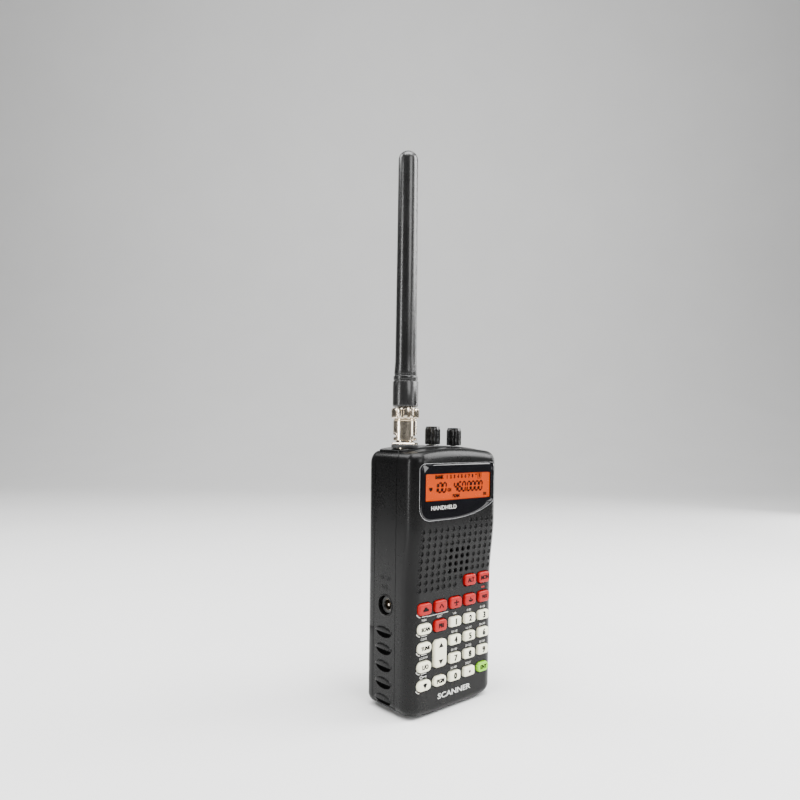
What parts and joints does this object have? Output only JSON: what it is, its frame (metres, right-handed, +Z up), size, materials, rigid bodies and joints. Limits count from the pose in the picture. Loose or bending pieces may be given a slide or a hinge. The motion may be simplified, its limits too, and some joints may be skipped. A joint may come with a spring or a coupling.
{
  "type": "handheld radio scanner",
  "caption": "Handheld scanning receiver with an amber display, rubber keypad, speaker grille, two turning knobs and a flexible antenna on a bayonet connector.",
  "frame": {"origin": "on the surface that the case stands on, at the middle of its width and of its depth without the belt clip", "axes": "+Z up along the case and the antenna, the keypad and display face -Y, +X is to the right seen from the front"},
  "size_m": [0.0632, 0.0484, 0.287],
  "materials": {
    "case": "moulded ABS, satin black with a fine texture, glossier on the shoulders",
    "door": "moulded ABS, fine matt texture",
    "lens": "polished acrylic, black printed border",
    "lcd": "amber backlit liquid crystal panel",
    "holder": "white moulded backlight holder",
    "key_ivory": "moulded keypad rubber, satin, printed legends",
    "key_red": "moulded keypad rubber, satin, printed legends",
    "key_green": "moulded keypad rubber, satin, printed legends",
    "silicone": "grey silicone sheet",
    "board": "glass epoxy with green solder mask",
    "steel": "tinned pressed steel",
    "cone": "coated paper cone",
    "knob": "fluted, glossy black",
    "nickel": "bright nickel plate over brass",
    "whip": "moulded flexible sheath, soft black sheen",
    "socket": "moulded black nylon",
    "tray": "moulded black ABS",
    "cell": "plain printed sleeve over a steel can",
    "clip": "moulded nylon, fine matt texture",
    "screw": "black zinc plated"
  },
  "bodies": {
    "case": {"front_case": "case", "rear_case": "case", "display_lens": "lens", "lcd_panel": "lcd", "lcd_holder": "holder", "speaker_frame": "steel", "speaker_cone": "cone", "main_board": "board", "rf_board": "board", "rf_shield": "steel", "volume_pot": "steel", "squelch_pot": "steel", "bnc_jack": "nickel", "bnc_nut": "nickel", "power_jack": "socket", "data_jack": "socket", "headphone_jack": "socket", "battery_tray": "tray", "battery_cell_1": "cell", "battery_cell_2": "cell", "battery_cell_3": "cell", "battery_cell_4": "cell", "belt_clip": "clip", "clip_screw_1": "screw", "clip_screw_2": "screw", "keypad_mat": "silicone"},
    "volume": {"volume_knob": "knob", "volume_shaft": "steel"},
    "squelch": {"squelch_knob": "knob", "squelch_shaft": "steel"},
    "antenna": {"antenna_plug": "nickel", "antenna_whip": "whip"},
    "bayonet_ring": {"bayonet_ring": "nickel"},
    "battery_door": {"battery_door": "door"},
    "rocker_key": {"rocker_key": "key_ivory"},
    "key_alert": {"key_alert": "key_red"},
    "key_monitor": {"key_monitor": "key_red"},
    "key_service": {"key_service": "key_red"},
    "key_bank_up": {"key_bank_up": "key_red"},
    "key_air": {"key_air": "key_red"},
    "key_marine": {"key_marine": "key_red"},
    "key_weather": {"key_weather": "key_red"},
    "key_scan": {"key_scan": "key_ivory"},
    "key_priority": {"key_priority": "key_red"},
    "key_1": {"key_1": "key_ivory"},
    "key_2": {"key_2": "key_ivory"},
    "key_3": {"key_3": "key_ivory"},
    "key_tune": {"key_tune": "key_ivory"},
    "key_4": {"key_4": "key_ivory"},
    "key_5": {"key_5": "key_ivory"},
    "key_6": {"key_6": "key_ivory"},
    "key_lockout": {"key_lockout": "key_ivory"},
    "key_7": {"key_7": "key_ivory"},
    "key_8": {"key_8": "key_ivory"},
    "key_9": {"key_9": "key_ivory"},
    "key_light": {"key_light": "key_ivory"},
    "key_program": {"key_program": "key_ivory"},
    "key_0": {"key_0": "key_ivory"},
    "key_point": {"key_point": "key_ivory"},
    "key_enter": {"key_enter": "key_green"}
  },
  "joints": [
    {"name": "press_alert", "type": "slide", "parent": "case", "child": "key_alert", "axis": [0, 1, 0], "range_m": [0, 0.0006], "stiffness_N_per_m": 1500},
    {"name": "press_monitor", "type": "slide", "parent": "case", "child": "key_monitor", "axis": [0, 1, 0], "range_m": [0, 0.0006], "stiffness_N_per_m": 1500},
    {"name": "press_service", "type": "slide", "parent": "case", "child": "key_service", "axis": [0, 1, 0], "range_m": [0, 0.0006], "stiffness_N_per_m": 1500},
    {"name": "press_bank_up", "type": "slide", "parent": "case", "child": "key_bank_up", "axis": [0, 1, 0], "range_m": [0, 0.0006], "stiffness_N_per_m": 1500},
    {"name": "press_air", "type": "slide", "parent": "case", "child": "key_air", "axis": [0, 1, 0], "range_m": [0, 0.0006], "stiffness_N_per_m": 1500},
    {"name": "press_marine", "type": "slide", "parent": "case", "child": "key_marine", "axis": [0, 1, 0], "range_m": [0, 0.0006], "stiffness_N_per_m": 1500},
    {"name": "press_weather", "type": "slide", "parent": "case", "child": "key_weather", "axis": [0, 1, 0], "range_m": [0, 0.0006], "stiffness_N_per_m": 1500},
    {"name": "press_scan", "type": "slide", "parent": "case", "child": "key_scan", "axis": [0, 1, 0], "range_m": [0, 0.0006], "stiffness_N_per_m": 1500},
    {"name": "press_priority", "type": "slide", "parent": "case", "child": "key_priority", "axis": [0, 1, 0], "range_m": [0, 0.0006], "stiffness_N_per_m": 1500},
    {"name": "press_1", "type": "slide", "parent": "case", "child": "key_1", "axis": [0, 1, 0], "range_m": [0, 0.0006], "stiffness_N_per_m": 1500},
    {"name": "press_2", "type": "slide", "parent": "case", "child": "key_2", "axis": [0, 1, 0], "range_m": [0, 0.0006], "stiffness_N_per_m": 1500},
    {"name": "press_3", "type": "slide", "parent": "case", "child": "key_3", "axis": [0, 1, 0], "range_m": [0, 0.0006], "stiffness_N_per_m": 1500},
    {"name": "press_tune", "type": "slide", "parent": "case", "child": "key_tune", "axis": [0, 1, 0], "range_m": [0, 0.0006], "stiffness_N_per_m": 1500},
    {"name": "press_4", "type": "slide", "parent": "case", "child": "key_4", "axis": [0, 1, 0], "range_m": [0, 0.0006], "stiffness_N_per_m": 1500},
    {"name": "press_5", "type": "slide", "parent": "case", "child": "key_5", "axis": [0, 1, 0], "range_m": [0, 0.0006], "stiffness_N_per_m": 1500},
    {"name": "press_6", "type": "slide", "parent": "case", "child": "key_6", "axis": [0, 1, 0], "range_m": [0, 0.0006], "stiffness_N_per_m": 1500},
    {"name": "press_lockout", "type": "slide", "parent": "case", "child": "key_lockout", "axis": [0, 1, 0], "range_m": [0, 0.0006], "stiffness_N_per_m": 1500},
    {"name": "press_7", "type": "slide", "parent": "case", "child": "key_7", "axis": [0, 1, 0], "range_m": [0, 0.0006], "stiffness_N_per_m": 1500},
    {"name": "press_8", "type": "slide", "parent": "case", "child": "key_8", "axis": [0, 1, 0], "range_m": [0, 0.0006], "stiffness_N_per_m": 1500},
    {"name": "press_9", "type": "slide", "parent": "case", "child": "key_9", "axis": [0, 1, 0], "range_m": [0, 0.0006], "stiffness_N_per_m": 1500},
    {"name": "press_light", "type": "slide", "parent": "case", "child": "key_light", "axis": [0, 1, 0], "range_m": [0, 0.0006], "stiffness_N_per_m": 1500},
    {"name": "press_program", "type": "slide", "parent": "case", "child": "key_program", "axis": [0, 1, 0], "range_m": [0, 0.0006], "stiffness_N_per_m": 1500},
    {"name": "press_0", "type": "slide", "parent": "case", "child": "key_0", "axis": [0, 1, 0], "range_m": [0, 0.0006], "stiffness_N_per_m": 1500},
    {"name": "press_point", "type": "slide", "parent": "case", "child": "key_point", "axis": [0, 1, 0], "range_m": [0, 0.0006], "stiffness_N_per_m": 1500},
    {"name": "press_enter", "type": "slide", "parent": "case", "child": "key_enter", "axis": [0, 1, 0], "range_m": [0, 0.0006], "stiffness_N_per_m": 1500},
    {"name": "rocker_tilt", "type": "hinge", "parent": "case", "child": "rocker_key", "pos_m": [-0.0107, -0.0157, 0.03135], "axis": [1, 0, 0], "range_deg": [-3, 3], "stiffness_Nm_per_rad": 0.15},
    {"name": "volume_turn", "type": "hinge", "parent": "case", "child": "volume", "pos_m": [0.015, 0.001, 0.14], "axis": [0, 0, 1], "range_deg": [-150, 150]},
    {"name": "squelch_turn", "type": "hinge", "parent": "case", "child": "squelch", "pos_m": [-0.001, 0.001, 0.14], "axis": [0, 0, 1], "range_deg": [-150, 150]},
    {"name": "antenna_lift", "type": "slide", "parent": "case", "child": "antenna", "axis": [0, 0, 1], "range_m": [0, 0.0018]},
    {"name": "ring_turn", "type": "hinge", "parent": "antenna", "child": "bayonet_ring", "pos_m": [-0.0205, 0.001, 0.15], "axis": [0, 0, 1], "range_deg": [0, 90]},
    {"name": "door_slide", "type": "slide", "parent": "case", "child": "battery_door", "axis": [0, 0, -1], "range_m": [0, 0.012]}
  ],
  "couplings": [
    {"joint": "ring_turn", "follows": "antenna_lift", "rad_per_m": 872.66}
  ]
}
